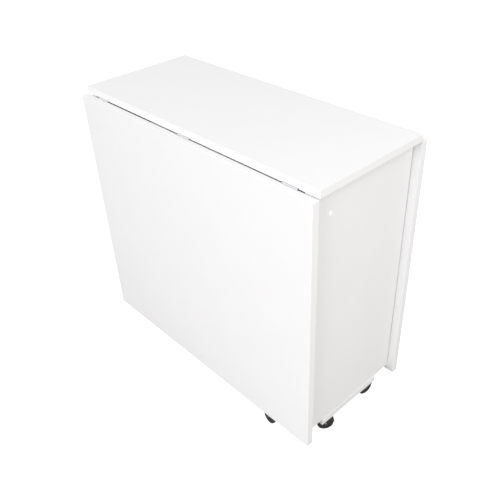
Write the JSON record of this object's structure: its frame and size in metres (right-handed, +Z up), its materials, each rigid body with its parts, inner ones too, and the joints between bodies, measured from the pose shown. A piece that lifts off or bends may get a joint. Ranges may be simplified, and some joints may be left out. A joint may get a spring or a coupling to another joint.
{
  "type": "gateleg table",
  "caption": "Narrow folding table on castors, with a hanging leaf hinged along each long side of a fixed centre top and a gate behind each leaf to carry it.",
  "frame": {"origin": "on the floor, under the middle of the table with both leaves hanging", "axes": "+Z up, X along the leaf hinge lines, the front leaf on the -Y side"},
  "size_m": [0.8, 0.3626, 0.76],
  "materials": {
    "board_white": "white melamine-faced chipboard, satin",
    "edging_white": "white plastic edging, satin",
    "hinge_nickel": "nickel-plated steel, slightly brushed",
    "screw_zinc": "bright zinc-plated steel",
    "cap_white": "white moulded plastic",
    "cam_zinc": "die-cast zinc, dull",
    "axle_steel": "turned steel",
    "bumper_rubber": "black rubber",
    "pad_black": "black low-friction plastic",
    "socket_steel": "zinc-plated pressed steel",
    "castor_hood": "black moulded nylon, fine satin",
    "castor_wheel": "black moulded nylon, tread slightly scuffed"
  },
  "bodies": {
    "frame": {"base_board": "board_white", "cam_bolts": "axle_steel", "cam_locks": "cam_zinc", "castor_sockets_base": "socket_steel", "centre_top": "board_white", "centre_top_edging": "edging_white", "cover_caps": "cap_white", "end_panel_left": "board_white", "end_panel_right": "board_white", "gate_hinge_fixed": "hinge_nickel", "hinge_pins": "hinge_nickel", "hinge_screws_fixed": "screw_zinc", "leaf_bumpers": "bumper_rubber", "leaf_hinge_fixed": "hinge_nickel", "panel_screws": "screw_zinc", "partition_left": "board_white", "partition_right": "board_white", "tie_board": "board_white", "top_rail_left": "board_white", "top_rail_right": "board_white"},
    "leaf_front": {"leaf_front": "board_white", "leaf_front_edging": "edging_white", "leaf_front_hinge": "hinge_nickel", "leaf_front_screws": "screw_zinc"},
    "leaf_back": {"leaf_back": "board_white", "leaf_back_edging": "edging_white", "leaf_back_hinge": "hinge_nickel", "leaf_back_screws": "screw_zinc"},
    "gate_front": {"gate_front": "board_white", "gate_front_hinge": "hinge_nickel", "gate_front_screws": "screw_zinc", "gate_front_pad": "pad_black", "gate_front_castor_socket": "socket_steel"},
    "gate_back": {"gate_back": "board_white", "gate_back_hinge": "hinge_nickel", "gate_back_screws": "screw_zinc", "gate_back_pad": "pad_black", "gate_back_castor_socket": "socket_steel"},
    "castor_right_front": {"castor_right_front_body": "castor_hood"},
    "wheels_right_front": {"castor_right_front_wheels": "castor_wheel", "castor_right_front_axle": "axle_steel"},
    "castor_right_back": {"castor_right_back_body": "castor_hood"},
    "wheels_right_back": {"castor_right_back_wheels": "castor_wheel", "castor_right_back_axle": "axle_steel"},
    "castor_left_front": {"castor_left_front_body": "castor_hood"},
    "wheels_left_front": {"castor_left_front_wheels": "castor_wheel", "castor_left_front_axle": "axle_steel"},
    "castor_left_back": {"castor_left_back_body": "castor_hood"},
    "wheels_left_back": {"castor_left_back_wheels": "castor_wheel", "castor_left_back_axle": "axle_steel"},
    "castor_gate_front": {"castor_gate_front_body": "castor_hood"},
    "wheels_gate_front": {"castor_gate_front_wheels": "castor_wheel", "castor_gate_front_axle": "axle_steel"},
    "castor_gate_back": {"castor_gate_back_body": "castor_hood"},
    "wheels_gate_back": {"castor_gate_back_wheels": "castor_wheel", "castor_gate_back_axle": "axle_steel"}
  },
  "joints": [
    {"name": "leaf_front_hinge", "type": "hinge", "parent": "frame", "child": "leaf_front", "pos_m": [0, -0.1623, 0.741], "axis": [-1, 0, 0], "range_deg": [0, 90]},
    {"name": "leaf_back_hinge", "type": "hinge", "parent": "frame", "child": "leaf_back", "pos_m": [0, 0.1623, 0.741], "axis": [1, 0, 0], "range_deg": [0, 90]},
    {"name": "gate_front_hinge", "type": "hinge", "parent": "frame", "child": "gate_front", "pos_m": [-0.129, -0.1405, 0.4], "axis": [0, 0, -1], "range_deg": [0, 0.25]},
    {"name": "gate_back_hinge", "type": "hinge", "parent": "frame", "child": "gate_back", "pos_m": [0.129, 0.1405, 0.4], "axis": [0, 0, -1], "range_deg": [0, 0.25]},
    {"name": "castor_right_front_swivel", "type": "hinge", "parent": "frame", "child": "castor_right_front", "pos_m": [0.348, -0.08, 0.0485], "axis": [0, 0, 1], "continuous": true},
    {"name": "castor_right_front_roll", "type": "hinge", "parent": "castor_right_front", "child": "wheels_right_front", "pos_m": [0.35583, -0.06839, 0.022], "axis": [0.829, -0.5592, 0], "continuous": true},
    {"name": "castor_right_back_swivel", "type": "hinge", "parent": "frame", "child": "castor_right_back", "pos_m": [0.348, 0.08, 0.0485], "axis": [0, 0, 1], "continuous": true},
    {"name": "castor_right_back_roll", "type": "hinge", "parent": "castor_right_back", "child": "wheels_right_back", "pos_m": [0.35019, 0.09383, 0.022], "axis": [0.9877, -0.1564, 0], "continuous": true},
    {"name": "castor_left_front_swivel", "type": "hinge", "parent": "frame", "child": "castor_left_front", "pos_m": [-0.348, -0.08, 0.0485], "axis": [0, 0, 1], "continuous": true},
    {"name": "castor_left_front_roll", "type": "hinge", "parent": "castor_left_front", "child": "wheels_left_front", "pos_m": [-0.35457, -0.06764, 0.022], "axis": [0.8829, 0.4695, 0], "continuous": true},
    {"name": "castor_left_back_swivel", "type": "hinge", "parent": "frame", "child": "castor_left_back", "pos_m": [-0.348, 0.08, 0.0485], "axis": [0, 0, 1], "continuous": true},
    {"name": "castor_left_back_roll", "type": "hinge", "parent": "castor_left_back", "child": "wheels_left_back", "pos_m": [-0.36069, 0.07408, 0.022], "axis": [-0.4226, 0.9063, 0], "continuous": true},
    {"name": "castor_gate_front_swivel", "type": "hinge", "parent": "gate_front", "child": "castor_gate_front", "pos_m": [0.265, -0.1515, 0.0485], "axis": [0, 0, 1], "continuous": true},
    {"name": "castor_gate_front_roll", "type": "hinge", "parent": "castor_gate_front", "child": "wheels_gate_front", "pos_m": [0.25121, -0.14907, 0.022], "axis": [0.1736, 0.9848, 0], "continuous": true},
    {"name": "castor_gate_back_swivel", "type": "hinge", "parent": "gate_back", "child": "castor_gate_back", "pos_m": [-0.265, 0.1515, 0.0485], "axis": [0, 0, 1], "continuous": true},
    {"name": "castor_gate_back_roll", "type": "hinge", "parent": "castor_gate_back", "child": "wheels_gate_back", "pos_m": [-0.25121, 0.14907, 0.022], "axis": [-0.1736, -0.9848, 0], "continuous": true}
  ]
}
